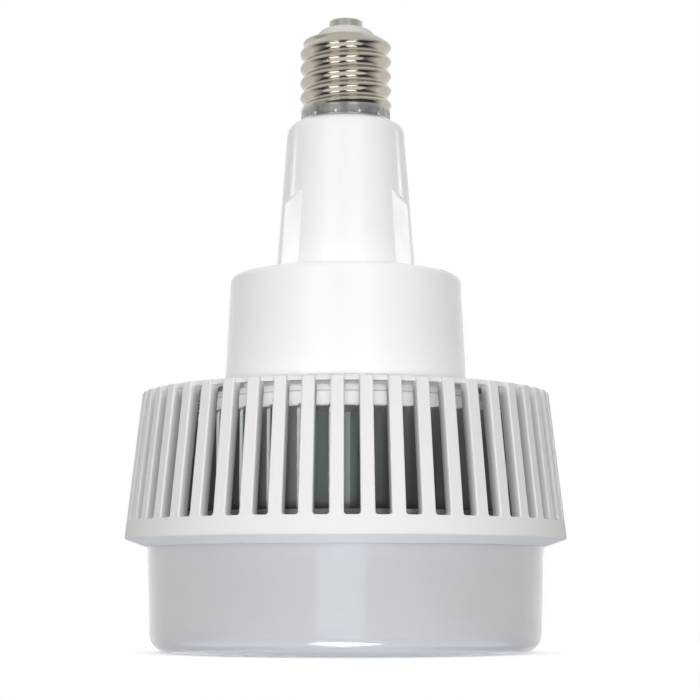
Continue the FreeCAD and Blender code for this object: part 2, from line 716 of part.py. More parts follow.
def shell_rows():
    """Section of the screw shell, curled foot to mouth: (radius, height, share of thread, lean of the dome)."""
    dome_z = shell_top_z - SHELL_DOME
    step = THREAD_PITCH / THREAD_POINTS_PER_PITCH
    rows = []
    height = neck_top_z
    stride = SHELL_SHEET / 2
    while height < dome_z:
        started = ease((height - neck_top_z - THREAD_START) / THREAD_FADE)
        radius = skirt_radius + (thread_mean_radius - skirt_radius) * started
        radius -= SKIRT_CURL * ease(1 - (height - neck_top_z) / SKIRT_CURL_HEIGHT)
        ended = ease((shell_top_z - height) / THREAD_FADE)
        rows.append((radius, height, started * ended, 0.0))
        height += stride
        stride = min(stride * 2, step)
    last_share = rows[-1][2]
    dome_reach = thread_mean_radius - shell_mouth_radius
    for index in range(DOME_POINTS + 1):
        lean = index * 90.0 / DOME_POINTS
        radius = shell_mouth_radius + dome_reach * math.cos(math.radians(lean))
        height = dome_z + SHELL_DOME * math.sin(math.radians(lean))
        rows.append((radius, height, last_share * ease(1 - index / DOME_POINTS), lean))
    return rows


def screw_shell():
    """Rolled sheet shell: a skirt with a curled foot, a right-hand thread and a domed mouth."""
    outer_rows = shell_rows()
    inner_rows = []
    for radius, height, share, lean in reversed(outer_rows):
        inner_radius = radius - SHELL_SHEET * math.cos(math.radians(lean))
        inner_height = height - SHELL_SHEET * math.sin(math.radians(lean))
        inner_rows.append((inner_radius, inner_height, share, lean))
    around_step = 2 * math.pi / THREAD_POINTS_ROUND
    pitch_step = 2 * math.pi / THREAD_POINTS_PER_PITCH
    round_gain = 3 / (2 + math.cos(around_step))
    depth = THREAD_DEPTH / 2 * 3 / (2 + math.cos(pitch_step))
    columns = []
    for index in range(THREAD_POINTS_ROUND):
        turn = index * around_step
        column = []
        for radius, height, share, lean in outer_rows + inner_rows:
            climb = (height - neck_top_z - THREAD_CREST) * 2 * math.pi / THREAD_PITCH
            reach = (radius + depth * share * math.cos(climb - turn)) * round_gain
            column.append(FreeCAD.Vector(reach * math.cos(turn), reach * math.sin(turn), height))
        columns.append(column)
    row_count = len(columns[0])
    surface = Part.BSplineSurface()
    surface.buildFromPolesMultsKnots(
        columns,
        [1] * (THREAD_POINTS_ROUND + 1),
        [1] * (row_count + 1),
        list(range(THREAD_POINTS_ROUND + 1)),
        list(range(row_count + 1)),
        True,
        True,
        3,
        3,
    )
    shell = Part.makeSolid(Part.makeShell([surface.toShape()]))
    if shell.Volume < 0:
        shell.reverse()
    stake_reach = skirt_radius + STAKE_RADIUS - STAKE_DEPTH
    stake = Part.makeSphere(STAKE_RADIUS, FreeCAD.Vector(stake_reach, 0, neck_top_z + STAKE_HEIGHT))
    return shell.cut(around(stake, STAKE_COUNT, STAKE_FIRST_ANGLE))


def base_insulator():
    """Pale moulding that fills the shell's mouth, with a flange on the spigot and a hole for the stem."""
    plug_radius = shell_mouth_radius - INSULATOR_CLEARANCE
    flange_top = spigot_top_z + INSULATOR_FLANGE_THICKNESS
    crown = FreeCAD.Vector(plug_radius, 0, shell_top_z)
    tip = FreeCAD.Vector(insulator_top_radius, 0, contact_z)
    outward = FreeCAD.Vector(tip.z - crown.z, 0, crown.x - tip.x).normalize()
    shoulder = (crown + tip) * 0.5 + outward * INSULATOR_BULGE
    hole_radius = STEM_RADIUS + STEM_CLEARANCE
    straight = Part.makePolygon([
        tip,
        FreeCAD.Vector(hole_radius, 0, contact_z),
        FreeCAD.Vector(hole_radius, 0, spigot_top_z),
        FreeCAD.Vector(insulator_flange_radius, 0, spigot_top_z),
        FreeCAD.Vector(insulator_flange_radius, 0, flange_top),
        FreeCAD.Vector(plug_radius, 0, flange_top),
        crown,
    ])
    cone = Part.Arc(crown, shoulder, tip).toShape()
    face = Part.Face(Part.Wire(straight.Edges + [cone]))
    return face.revolve(ORIGIN, AXIS, 360)


def centre_contact():
    """Plated button with a rounded edge and a stem through the insulator."""
    top_z = contact_z + CONTACT_HEIGHT
    body = turned([
        (0, stem_z),
        (STEM_RADIUS, stem_z),
        (STEM_RADIUS, contact_z),
        (CONTACT_RADIUS, contact_z),
        (CONTACT_RADIUS, top_z),
        (0, top_z),
    ])
    return rounded_ring(body, CONTACT_EDGE, CONTACT_RADIUS, top_z)


def driver_board():
    """Round circuit board on the tray's posts."""
    board = post(driver_board_radius, 0, driver_board_z, driver_board_top_z)
    hole = post(screw_hole_radius, post_circle, driver_board_z, driver_board_top_z)
    return board.cut(around(hole, POST_COUNT))


def driver_board_screws():
    """Screws that hold the driver board to the posts."""
    return screw_ring(DRIVER_BOARD_SCREW_LENGTH, post_circle, driver_board_top_z, POST_COUNT,
                      driven_down=True)


def legs(count, step, place):
    """Wire legs in a row along Y, from the board to the underside of a component."""
    first = place[1] - step * (count - 1) / 2
    feet = [FreeCAD.Vector(place[0], first + index * step, driver_board_top_z) for index in range(count)]
    return [Part.makeCylinder(LEG_RADIUS, LEG_HEIGHT, foot) for foot in feet]


def can_capacitor(radius, height, place):
    """Electrolytic can with a rolled groove near its foot and a rounded rim."""
    low = driver_board_top_z
    groove_z = low + CAN_GROOVE_HEIGHT
    can = turned([
        (0, low),
        (radius, low),
        (radius, groove_z - CAN_GROOVE),
        (radius - CAN_GROOVE, groove_z),
        (radius, groove_z + CAN_GROOVE),
        (radius, low + height),
        (0, low + height),
    ])
    can = rounded_ring(can, CAN_EDGE, radius, low + height)
    can.translate(FreeCAD.Vector(place[0], place[1], 0))
    return can


def bulk_capacitors():
    """The two cans that smooth the rectified mains."""
    cans = []
    for place in BULK_CAPACITOR_PLACES:
        cans.append(can_capacitor(BULK_CAPACITOR_RADIUS, BULK_CAPACITOR_HEIGHT, place))
    return Part.makeCompound(cans)


def output_capacitor():
    """The can that smooths the LED current."""
    return can_capacitor(OUTPUT_CAPACITOR_RADIUS, OUTPUT_CAPACITOR_HEIGHT, OUTPUT_CAPACITOR_PLACE)


def power_transformer():
    """Ferrite core round a taped winding on a moulded base."""
    low = driver_board_top_z
    base = block(CORE_LENGTH, WINDING_WIDTH, BOBBIN_BASE_HEIGHT, TRANSFORMER_PLACE, low)
    core = block(CORE_LENGTH, CORE_WIDTH, CORE_HEIGHT, TRANSFORMER_PLACE, low)
    winding_z = low + (CORE_HEIGHT - WINDING_HEIGHT) / 2
    winding = block(WINDING_LENGTH, WINDING_WIDTH, WINDING_HEIGHT, TRANSFORMER_PLACE, winding_z)
    winding = winding.makeFillet(WINDING_EDGE, upright_edges(winding))
    return core.fuse([base, winding])


def film_capacitor():
    """Boxed film capacitor across the mains."""
    box = block(FILM_LENGTH, FILM_WIDTH, FILM_HEIGHT, FILM_PLACE, driver_board_top_z)
    return box.makeFillet(FILM_EDGE, upright_edges(box))


def input_choke():
    """Wound ring on its foot."""
    foot = block(CHOKE_BASE_LENGTH, CHOKE_BASE_WIDTH, CHOKE_BASE_HEIGHT, CHOKE_PLACE, driver_board_top_z)
    centre_z = driver_board_top_z + CHOKE_RING_RADIUS + CHOKE_WIRE_RADIUS + CHOKE_BASE_HEIGHT / 2
    centre = FreeCAD.Vector(CHOKE_PLACE[0], CHOKE_PLACE[1], centre_z)
    ring = Part.makeTorus(CHOKE_RING_RADIUS, CHOKE_WIRE_RADIUS, centre, FreeCAD.Vector(1, 0, 0))
    return foot.fuse(ring)


def bridge_rectifier():
    """Flat rectifier standing on its legs."""
    low = driver_board_top_z + LEG_HEIGHT
    body = block(RECTIFIER_LENGTH, RECTIFIER_WIDTH, RECTIFIER_HEIGHT, RECTIFIER_PLACE, low)
    return body.fuse(legs(RECTIFIER_LEG_COUNT, RECTIFIER_LEG_STEP, RECTIFIER_PLACE))


def mains_fuse():
    """Round fuse beside the mains leads."""
    fuse = post(FUSE_RADIUS, 0, driver_board_top_z, driver_board_top_z + FUSE_HEIGHT)
    fuse = rounded_ring(fuse, FUSE_EDGE, FUSE_RADIUS, driver_board_top_z + FUSE_HEIGHT)
    fuse.translate(FreeCAD.Vector(FUSE_PLACE[0], FUSE_PLACE[1], 0))
    return fuse


def switching_transistor():
    """Power transistor with a drilled metal tab at its back."""
    low = driver_board_top_z + LEG_HEIGHT
    body = block(TRANSISTOR_LENGTH, TRANSISTOR_WIDTH, TRANSISTOR_HEIGHT, TRANSISTOR_PLACE, low)
    tab_x = TRANSISTOR_PLACE[0] + TRANSISTOR_LENGTH / 2 - TRANSISTOR_TAB_THICKNESS / 2
    tab_place = (tab_x, TRANSISTOR_PLACE[1])
    tab = block(TRANSISTOR_TAB_THICKNESS, TRANSISTOR_WIDTH, TRANSISTOR_TAB_HEIGHT, tab_place, low)
    hole_z = low + (TRANSISTOR_HEIGHT + TRANSISTOR_TAB_HEIGHT) / 2
    hole_start = FreeCAD.Vector(TRANSISTOR_PLACE[0], TRANSISTOR_PLACE[1], hole_z)
    through = FreeCAD.Vector(1, 0, 0)
    hole = Part.makeCylinder(TRANSISTOR_TAB_HOLE_RADIUS, TRANSISTOR_LENGTH, hole_start, through)
    body = body.fuse([tab] + legs(TRANSISTOR_LEG_COUNT, TRANSISTOR_LEG_STEP, TRANSISTOR_PLACE))
    return body.cut(hole)


def lead(points):
    """A round wire along straight runs joined by tangent arcs."""
    edges = []
    start = points[0]
    for before, corner, after in zip(points, points[1:], points[2:]):
        into = (corner - before).normalize()
        out = (after - corner).normalize()
        half_turn = into.getAngle(out) / 2
        setback = LEAD_BEND * math.tan(half_turn)
        first = corner - into * setback
        last = corner + out * setback
        inside = (out - into).normalize()
        middle = corner + inside * (LEAD_BEND / math.cos(half_turn) - LEAD_BEND)
        edges.append(Part.LineSegment(start, first).toShape())
        edges.append(Part.Arc(first, middle, last).toShape())
        start = last
    edges.append(Part.LineSegment(start, points[-1]).toShape())
    ring = Part.Wire(Part.Circle(points[0], points[1] - points[0], LEAD_RADIUS).toShape())
    return Part.Wire(edges).makePipeShell([ring], True, False)


def rising_run(place, offset):
    """The first points of a mains lead: up from the board, then in under the drum's wire hole."""
    turn_z = driver_board_top_z + LEAD_TURN_HEIGHT
    return [
        FreeCAD.Vector(place[0], place[1], driver_board_top_z),
        FreeCAD.Vector(place[0], place[1], turn_z),
        FreeCAD.Vector(offset[0], offset[1], drum_roof_z),
    ]


def live_lead():
    """Lead from the driver board to the contact's stem."""
    points = rising_run(LIVE_LEAD_PLACE, (-LEAD_OFFSET, LEAD_OFFSET / 2))
    points.append(FreeCAD.Vector(0, 0, stem_z - LEAD_TIP_GAP - LEAD_LAST_RUN))
    points.append(FreeCAD.Vector(0, 0, stem_z - LEAD_TIP_GAP))
    return lead(points)


def neutral_lead():
    """Lead from the driver board through the spigot's notch to the inside of the screw shell."""
    points = rising_run(NEUTRAL_LEAD_PLACE, (-LEAD_OFFSET / 2, -LEAD_OFFSET))
    end_z = spigot_top_z - NEUTRAL_LEAD_DROP
    end_radius = thread_root_radius - SHELL_SHEET - LEAD_TIP_GAP
    points.append(placed_point(LEAD_OFFSET, end_z))
    points.append(placed_point(end_radius, end_z))
    return lead(points)


def placed_point(radius, height):
    """A point at the neutral lead's place round the axis."""
    turn = math.radians(NEUTRAL_LEAD_ANGLE - 90.0)
    return FreeCAD.Vector(radius * math.cos(turn), radius * math.sin(turn), height)


def led_leads():
    """The two leads that run down the heat sink's bore to the LED board."""
    lead_post = post(LEAD_RADIUS, LED_LEAD_OFFSET, pad_z, driver_board_z)
    return Part.makeCompound(around(lead_post, 2))


SUB_PARTS = (
    centre_contact,
    base_insulator,
    screw_shell,
    neck_housing,
    neck_screws,
    driver_housing,
    driver_tray,
    housing_screws,
    vent_cowl,
    heat_sink,
    heat_sink_screws,
    thermal_pad,
    led_board,
    led_packages,
    led_board_screws,
    diffuser,
    driver_board,
    driver_board_screws,
    mains_fuse,
    input_choke,
    film_capacitor,
    bridge_rectifier,
    bulk_capacitors,
    power_transformer,
    switching_transistor,
    output_capacitor,
    live_lead,
    neutral_lead,
    led_leads,
)

os.makedirs("parts", exist_ok=True)
for sub_part in SUB_PARTS:
    sub_part().exportStep("parts/" + sub_part.__name__ + ".step")
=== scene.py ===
import json
import math

import bpy
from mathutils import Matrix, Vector


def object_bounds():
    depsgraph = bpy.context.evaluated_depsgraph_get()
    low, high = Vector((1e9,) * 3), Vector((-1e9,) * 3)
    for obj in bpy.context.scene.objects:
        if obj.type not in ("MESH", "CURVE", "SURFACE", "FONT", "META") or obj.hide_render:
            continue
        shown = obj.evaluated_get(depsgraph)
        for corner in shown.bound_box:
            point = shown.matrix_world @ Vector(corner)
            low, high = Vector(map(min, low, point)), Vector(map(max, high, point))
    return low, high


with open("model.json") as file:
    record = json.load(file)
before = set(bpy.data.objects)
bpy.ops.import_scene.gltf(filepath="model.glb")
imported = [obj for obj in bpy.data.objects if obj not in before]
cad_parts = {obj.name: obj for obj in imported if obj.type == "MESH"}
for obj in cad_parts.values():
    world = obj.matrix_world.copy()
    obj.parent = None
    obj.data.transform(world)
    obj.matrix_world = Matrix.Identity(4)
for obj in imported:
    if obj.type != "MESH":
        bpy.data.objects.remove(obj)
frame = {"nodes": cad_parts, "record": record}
cad_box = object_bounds()

# Lengths are in metres and angles in degrees.
# Azimuth 0 is the lamp's front, and 90 is its right as seen from the front.
# A pair of heights, radii or depths gives where a change on a surface starts and where it ends.

# Camera: it stands low and looks up a little
IMAGE_PIXELS = 700.0
FOCAL_PIXELS = 2030.0
SENSOR_MM = 36.0
CAMERA_DISTANCE = 0.850
CAMERA_HEIGHT = 0.02533
CAMERA_PITCH = 6.7426
CAMERA_AZIMUTH = -1.7
CAMERA_ASIDE = 0.0018

# Floor
FLOOR_DROP = 0.0003
FLOOR_RADIUS = 0.22
FLOOR_SIDES = 72
FLOOR_ALBEDO = 0.70
FLOOR_ROUGHNESS = 0.9
FLOOR_LIFT = 0.56

# World: the level that lights the lamp, and what gloss sees low in front, on the wall, above and behind
AMBIENT = 0.28
LOW_ROOM = 0.05
WALL = 0.55
CEILING = 0.85
BACKDROP = 0.95

# Where in the world these come in: wall and ceiling by a direction's height, backdrop by its depth
WALL_EDGE = (-0.12, 0.06)
CEILING_EDGE = (0.20, 0.70)
BACKDROP_EDGE = (-0.30, 0.25)

# Softboxes that no gloss sees: name, azimuth, distance, low edge, high edge, width and power
LIGHTING_BOXES = (
    ("left_key", -32.0, 1.2, 0.02, 0.28, 0.30, 3.1),
    ("right_key", 24.0, 1.2, 0.02, 0.28, 0.30, 3.1),
    ("front_fill", -2.0, 1.2, -0.08, 0.04, 0.16, 4.6),
    ("back_fill", 178.3, 1.2, 0.05, 0.35, 0.40, 6.5),
)

# Softboxes that only gloss sees, in the same columns
MIRRORED_BOXES = (
    ("left_strip", -31.0, 0.8, -0.75, -0.06, 0.38, 1.8),
    ("right_strip", 18.0, 0.8, -0.75, -0.06, 0.38, 1.8),
    ("left_glow", -31.0, 1.2, 0.30, 0.75, 0.50, 0.64),
    ("right_glow", 18.0, 1.2, 0.30, 0.75, 0.50, 0.64),
)

# Softboxes that only the neck's gloss sees, for the shine on its facets, in the same columns
KICKERS = (
    ("left_kicker", -114.6, 1.5, 0.45, 0.66, 0.24, 0.75),
    ("right_kicker", 117.8, 1.5, 0.45, 0.66, 0.24, 0.75),
)

# Thin beam on the ring behind the slots' tops, in the same columns, with its spread and its pieces
RING_BEAM = ("ring_fill", -55.0, 0.45, 0.0980, 0.1060, 0.16, 0.0011)
RING_BEAM_SPREAD = 1.5
RING_NODES = ("driver_tray", "driver_housing")

# Small lights inside the cowl that shine up at its top: name and azimuth of each, and what they share
LID_FILLS = (("left_lid_fill", -47.0), ("lid_fill", -2.0), ("right_lid_fill", 43.0))
LID_FILL_DISTANCE = 0.064
LID_FILL_HEIGHT = 0.096
LID_FILL_WIDTH = 0.05
LID_FILL_DEPTH = 0.018
LID_FILL_POWER = 0.0028

# Wide softbox over the lamp that no gloss sees
TOP_BOX_HEIGHT = 1.7
TOP_BOX_WIDTH = 1.8
TOP_BOX_POWER = 13.0

# Card that stands in front of the diffuser
FRONT_CARD_LEFT = -0.0221
FRONT_CARD_RIGHT = 0.0091
FRONT_CARD_AWAY = 0.108
FRONT_CARD_HEIGHT = 0.042
FRONT_CARD_COLOUR = (0.70, 0.86, 1.0)
FRONT_CARD_LEVEL = 2.3

# Cards that lie at the diffuser's foot: a bright lens, a wide blue arc and a pale edge under its corner
FOOT_LENS_RADIUS = 0.0875
FOOT_LENS_REACH = 0.0045
FOOT_LENS_TURN = 11.0
FOOT_LENS_COLOUR = (1.0, 0.98, 0.94)
FOOT_LENS_LEVEL = 15.0
FOOT_ARC_NEAR = 0.0820
FOOT_ARC_FAR = 0.122
FOOT_ARC_TURN = 58.0
FOOT_ARC_COLOUR = (0.66, 0.82, 1.0)
FOOT_ARC_LEVEL = 3.2
FOOT_EDGE_NEAR = 0.0715
FOOT_EDGE_FAR = 0.0808
FOOT_EDGE_TURN = 90.0
FOOT_EDGE_COLOUR = (0.92, 0.96, 1.0)
FOOT_EDGE_LEVEL = 3.2
FOOT_CARD_LIFT = 0.0001
FOOT_CARD_STEPS = 24

# Bulge of a foot card in its middle: the part over 1 keeps its ends open
FOOT_CARD_BULGE = 1.02

# The part of a noise value's range that most of it falls in
NOISE_RANGE = (0.3, 0.7)

# Mouldings: noise scales, how far roughness wanders down and up, and gloss
DRIFT_SCALE = 22.0
CLOUD_SCALE = 90.0
GRAIN_SCALE = 1400.0
SMOOTHER = 0.04
ROUGHER = 0.05
PLASTIC_IOR = 1.5
SHEEN_ROUGHNESS = 0.4

# Diffuser: how it scatters light, the sheen of its sides, and the heights and colour of a painted bluish
# reflection on its lower corner
OPAL_SCATTER = 0.7
OPAL_SCATTER_LENGTH = 0.02
OPAL_SHEEN = 0.8
CUP_CORNER = (0.003, 0.010)
CUP_CORNER_PAINTED_REFLECTION = (0.85, 0.90, 1.0)

# Cowl: its cone, the depth over which painted shade greys its slots, the heights of its top and its rim,
# and the painted bluish light under that rim
COWL_SLOPE = 0.1138
COWL_FOOT_RADIUS = 0.0970
COWL_SPECULAR = 0.3
SLOT_DEPTH = (0.0003, 0.0040)
SLOT_PAINTED_SHADE = (0.34, 0.35, 0.325)
COWL_TOP = (0.1010, 0.1045)
COWL_RIM = (0.0456, 0.0462)
UNDER_RIM_PAINTED_LIGHT = (0.745, 0.765, 0.80)

# Tray: painted shade darkens its upper edge by height, for the seam under the drum's flange
TRAY_SEAM = (0.10290, 0.10305)
TRAY_SEAM_PAINTED_SHADE = (0.52, 0.53, 0.51)

# Screw shell: the top and the foot of its dull skirt by height, and its stake marks by radius
SKIRT_TOP = (0.2268, 0.2285)
SKIRT_FOOT = (0.2236, 0.2242)
SKIRT_FOOT_TINT = (0.82, 0.80, 0.76)
SKIRT_ROUGHNESS = 0.24
STAKE_MARK = (0.01878, 0.01896)
STAKE_MARK_TINT = (0.96, 0.94, 0.90)
NICKEL_BRIGHT = ((0.46, 0.425, 0.36), (0.56, 0.525, 0.455))
NICKEL_DULL = ((0.26, 0.265, 0.27), (0.47, 0.47, 0.46))
NICKEL_POLISH = (0.08, 0.18)
NICKEL_CLOUD_SCALE = 130.0
NICKEL_SCUFF_SCALES = (9.0, 220.0)
NICKEL_LINE_SCALES = (3.0, 9000.0)
NICKEL_LINE_DEPTH = 0.000004

# Centre contact
BUTTON_COLOURS = ((0.46, 0.45, 0.41), (0.70, 0.69, 0.65))
BUTTON_ROUGHNESS = (0.36, 0.52)
BUTTON_STREAK_SCALES = (14.0, 120.0)
BUTTON_PIT_SCALE = 900.0
BUTTON_PIT_DEPTH = 0.00004

# Heat sink: painted shade along its fins and a painted highlight on their tips, by radius, and its brown
# stain by height
CASTING_METALLIC = 0.15
CASTING_UNSHADED = ((0.80, 0.845, 0.815), (0.88, 0.925, 0.895))
CASTING_SHADED = ((0.17, 0.18, 0.174), (0.23, 0.243, 0.235))
CASTING_PATCH_SCALE = 60.0
CASTING_SAND_SCALE = 900.0
CASTING_SAND_DEPTH = 0.00001
CASTING_ROUGHNESS = (0.28, 0.42)
FIN_PAINTED_SHADE = (0.049, 0.062)
FIN_TIP_PAINTED_HIGHLIGHT = (0.0711, 0.0717)
STAIN = (0.0555, 0.0612)
STAIN_TINT = (0.11, 0.09, 0.065)
STAIN_SCALE = 45.0
STAIN_SHARE = (0.80, 1.0)
STAIN_NOISE_RANGE = (0.38, 0.62)

# Screws
ZINC_COLOURS = ((0.45, 0.46, 0.48), (0.66, 0.67, 0.68))
ZINC_ROUGHNESS = (0.22, 0.38)
ZINC_MARK_SCALE = 2500.0
ZINC_MARK_DEPTH = 0.00001

# Plain mouldings by slot: colour, shade, roughness and grain depth, and for some grain scale and sheen
MOULDED_SLOTS = {
    "pale_insulator": ((0.66, 0.65, 0.62), (0.60, 0.59, 0.56), 0.42, 0.00001),
    "white_moulding": ((0.892, 0.889, 0.882), (0.868, 0.865, 0.858), 0.20, 0.000004, GRAIN_SCALE, 0.5),
    "grey_pad": ((0.20, 0.21, 0.22), (0.15, 0.16, 0.17), 0.80, 0.00004),
    "white_board": ((0.80, 0.80, 0.78), (0.72, 0.72, 0.70), 0.45, 0.00001),
    "phosphor": ((0.85, 0.62, 0.08), (0.74, 0.50, 0.05), 0.35, 0.00001),
    "circuit_board": ((0.02, 0.12, 0.04), (0.01, 0.08, 0.03), 0.40, 0.00002),
    "black_moulding": ((0.02, 0.02, 0.02), (0.01, 0.01, 0.01), 0.45, 0.00002),
    "enamelled_wire": ((0.38, 0.12, 0.03), (0.24, 0.07, 0.02), 0.30, 0.0001, 700.0),
    "yellow_case": ((0.66, 0.45, 0.03), (0.56, 0.37, 0.02), 0.40, 0.00002),
    "capacitor_sleeve": ((0.02, 0.025, 0.04), (0.01, 0.012, 0.02), 0.25, 0.00001),
    "transformer_tape": ((0.58, 0.42, 0.06), (0.46, 0.32, 0.04), 0.35, 0.00002),
    "black_insulation": ((0.02, 0.02, 0.02), (0.012, 0.012, 0.012), 0.35, 0.00001),
    "white_insulation": ((0.78, 0.78, 0.76), (0.70, 0.70, 0.68), 0.35, 0.00001),
    "red_insulation": ((0.46, 0.02, 0.015), (0.36, 0.015, 0.01), 0.35, 0.00001),
}

# Mouldings with a material function of their own: colour, shade, roughness and grain depth
OPAL_LOOK = ((0.834, 0.864, 0.912), (0.820, 0.850, 0.900), 0.14, 0.000004)
COWL_LOOK = ((0.760, 0.760, 0.753), (0.730, 0.730, 0.723), 0.50, 0.000008)
TRAY_LOOK = ((0.92, 0.915, 0.90), (0.88, 0.875, 0.86), 0.30, 0.00001)


# Node helpers
def new_material(name):
    """A material with a Principled shader alone, its node tree and that shader."""
    material = bpy.data.materials.new(name)
    material.use_nodes = True
    tree = material.node_tree
    tree.nodes.clear()
    output = tree.nodes.new("ShaderNodeOutputMaterial")
    shader = tree.nodes.new("ShaderNodeBsdfPrincipled")
    tree.links.new(shader.outputs["BSDF"], output.inputs["Surface"])
    return material, tree, shader


def shader_of(material):
    """The Principled shader of a material."""
    return material.node_tree.nodes["Principled BSDF"]


def math_node(tree, operation, first, second=0.0):
    """A Math node fed by sockets or plain numbers."""
    node = tree.nodes.new("ShaderNodeMath")
    node.operation = operation
    for socket, value in zip(node.inputs, (first, second)):
        if isinstance(value, bpy.types.NodeSocket):
            tree.links.new(value, socket)
        else:
            socket.default_value = value
    return node.outputs[0]


def spread(tree, value, target, source=NOISE_RANGE):
    """Map a value from one range to another, and hold it at their ends."""
    node = tree.nodes.new("ShaderNodeMapRange")
    node.inputs["From Min"].default_value = source[0]
    node.inputs["From Max"].default_value = source[1]
    node.inputs["To Min"].default_value = target[0]
    node.inputs["To Max"].default_value = target[1]
    tree.links.new(value, node.inputs["Value"])
    return node.outputs["Result"]


def rising(tree, value, source):
    """0 up to the start of a range, 1 from its end."""
    return spread(tree, value, (0.0, 1.0), source)


def falling(tree, value, source):
    """1 up to the start of a range, 0 from its end."""
    return spread(tree, value, (1.0, 0.0), source)


def blend_colours(tree, value, first, second):
    """A colour between two plain colours, chosen by a value from 0 to 1."""
    ramp = tree.nodes.new("ShaderNodeValToRGB")
    ramp.color_ramp.elements[0].color = (*first, 1.0)
    ramp.color_ramp.elements[1].color = (*second, 1.0)
    tree.links.new(value, ramp.inputs["Fac"])
    return ramp.outputs["Color"]


def mix_colours(tree, value, first, second):
    """A mix of two colours, each a socket or a plain colour, by a value from 0 to 1."""
    node = tree.nodes.new("ShaderNodeMix")
    node.data_type = "RGBA"
    tree.links.new(value, node.inputs[0])
    for socket, colour in ((node.inputs[6], first), (node.inputs[7], second)):
        if isinstance(colour, bpy.types.NodeSocket):
            tree.links.new(colour, socket)
        else:
            socket.default_value = (*colour, 1.0)
    return node.outputs[2]


def tint(material, share, colour):
    """Lay a colour over a material's base colour by a share from 0 to 1."""
    tree = material.node_tree
    base = shader_of(material).inputs["Base Color"]
    under = base.links[0].from_socket
    tree.links.new(mix_colours(tree, share, under, colour), base)


def bump(tree, value, depth):
    """A normal from a value, with the depth of its full range."""
    node = tree.nodes.new("ShaderNodeBump")
    node.inputs["Distance"].default_value = depth
    tree.links.new(value, node.inputs["Height"])
    return node.outputs["Normal"]


def place(tree):
    """Place on the lamp, in its own frame."""
    return tree.nodes.new("ShaderNodeTexCoord").outputs["Object"]


def coordinates(tree):
    """The three coordinates of the place on the lamp."""
    split = tree.nodes.new("ShaderNodeSeparateXYZ")
    tree.links.new(place(tree), split.inputs[0])
    return split.outputs


def height(tree):
    """Height on the lamp."""
    return coordinates(tree)["Z"]


def reach(tree):
    """Distance from the lamp's axis."""
    axes = coordinates(tree)
    across = math_node(tree, "MULTIPLY", axes["X"], axes["X"])
    along = math_node(tree, "MULTIPLY", axes["Y"], axes["Y"])
    return math_node(tree, "SQRT", math_node(tree, "ADD", across, along))


def noise(tree, vector, scale, detail=3.0):
    """A noise value from 0 to 1."""
    node = tree.nodes.new("ShaderNodeTexNoise")
    node.inputs["Scale"].default_value = scale
    node.inputs["Detail"].default_value = detail
    tree.links.new(vector, node.inputs["Vector"])
    return node.outputs["Fac"]


def turned_noise(tree, scales, detail):
    """Noise on a turned surface, with one scale for the angle round the axis and one for the height."""
    axes = coordinates(tree)
    angle = math_node(tree, "ARCTAN2", axes["Y"], axes["X"])
    join = tree.nodes.new("ShaderNodeCombineXYZ")
    tree.links.new(math_node(tree, "MULTIPLY", angle, scales[0]), join.inputs["X"])
    tree.links.new(math_node(tree, "MULTIPLY", axes["Z"], scales[1]), join.inputs["Z"])
    return noise(tree, join.outputs[0], 1.0, detail)


# Materials
def moulded(name, colour, shade, roughness, grain_depth, grain_scale=GRAIN_SCALE, sheen=0.0):
    """Moulded plastic: a fine grain, a slow drift of colour and a roughness that wanders."""
    material, tree, shader = new_material(name)
    where = place(tree)
    drift = noise(tree, where, DRIFT_SCALE, detail=4.0)
    tree.links.new(blend_colours(tree, drift, shade, colour), shader.inputs["Base Color"])
    cloud = noise(tree, where, CLOUD_SCALE)
    wander = (roughness - SMOOTHER, roughness + ROUGHER)
    tree.links.new(spread(tree, cloud, wander), shader.inputs["Roughness"])
    grain = noise(tree, where, grain_scale, detail=2.0)
    tree.links.new(bump(tree, grain, grain_depth), shader.inputs["Normal"])
    shader.inputs["IOR"].default_value = PLASTIC_IOR
    shader.inputs["Sheen Weight"].default_value = sheen
    shader.inputs["Sheen Roughness"].default_value = SHEEN_ROUGHNESS
    return material


def opal(name):
    """Milky moulding that scatters light inside its wall, with a painted bluish reflection round its lower
    corner.
    """
    material = moulded(name, *OPAL_LOOK, sheen=OPAL_SHEEN)
    tree = material.node_tree
    # Painted bluish reflection on the lower corner
    tint(material, falling(tree, height(tree), CUP_CORNER), CUP_CORNER_PAINTED_REFLECTION)
    shader = shader_of(material)
    shader.inputs["Subsurface Weight"].default_value = OPAL_SCATTER
    shader.inputs["Subsurface Radius"].default_value = (1.0, 1.0, 1.0)
    shader.inputs["Subsurface Scale"].default_value = OPAL_SCATTER_LENGTH
    return material


def slatted(name):
    """White moulding with painted shade that greys into its slots, and painted bluish light under its rim.
    """
    material = moulded(name, *COWL_LOOK)
    tree = material.node_tree
    level = height(tree)
    lean = math_node(tree, "MULTIPLY", level, COWL_SLOPE)
    face = math_node(tree, "SUBTRACT", COWL_FOOT_RADIUS, lean)
    depth = math_node(tree, "SUBTRACT", face, reach(tree))
    # Painted shade: the slots' walls grey with depth behind the cowl's face
    slot_shade = rising(tree, depth, SLOT_DEPTH)
    below_top = falling(tree, level, COWL_TOP)
    tint(material, math_node(tree, "MULTIPLY", slot_shade, below_top), SLOT_PAINTED_SHADE)
    # Painted bluish reflected light under the rim
    tint(material, falling(tree, level, COWL_RIM), UNDER_RIM_PAINTED_LIGHT)
    shader_of(material).inputs["Specular IOR Level"].default_value = COWL_SPECULAR
    return material


def seamed(name):
    """White moulding with painted shade along its upper edge, for the seam."""
    material = moulded(name, *TRAY_LOOK)
    tree = material.node_tree
    # Painted shade along the seam under the drum's flange
    tint(material, rising(tree, height(tree), TRAY_SEAM), TRAY_SEAM_PAINTED_SHADE)
    return material


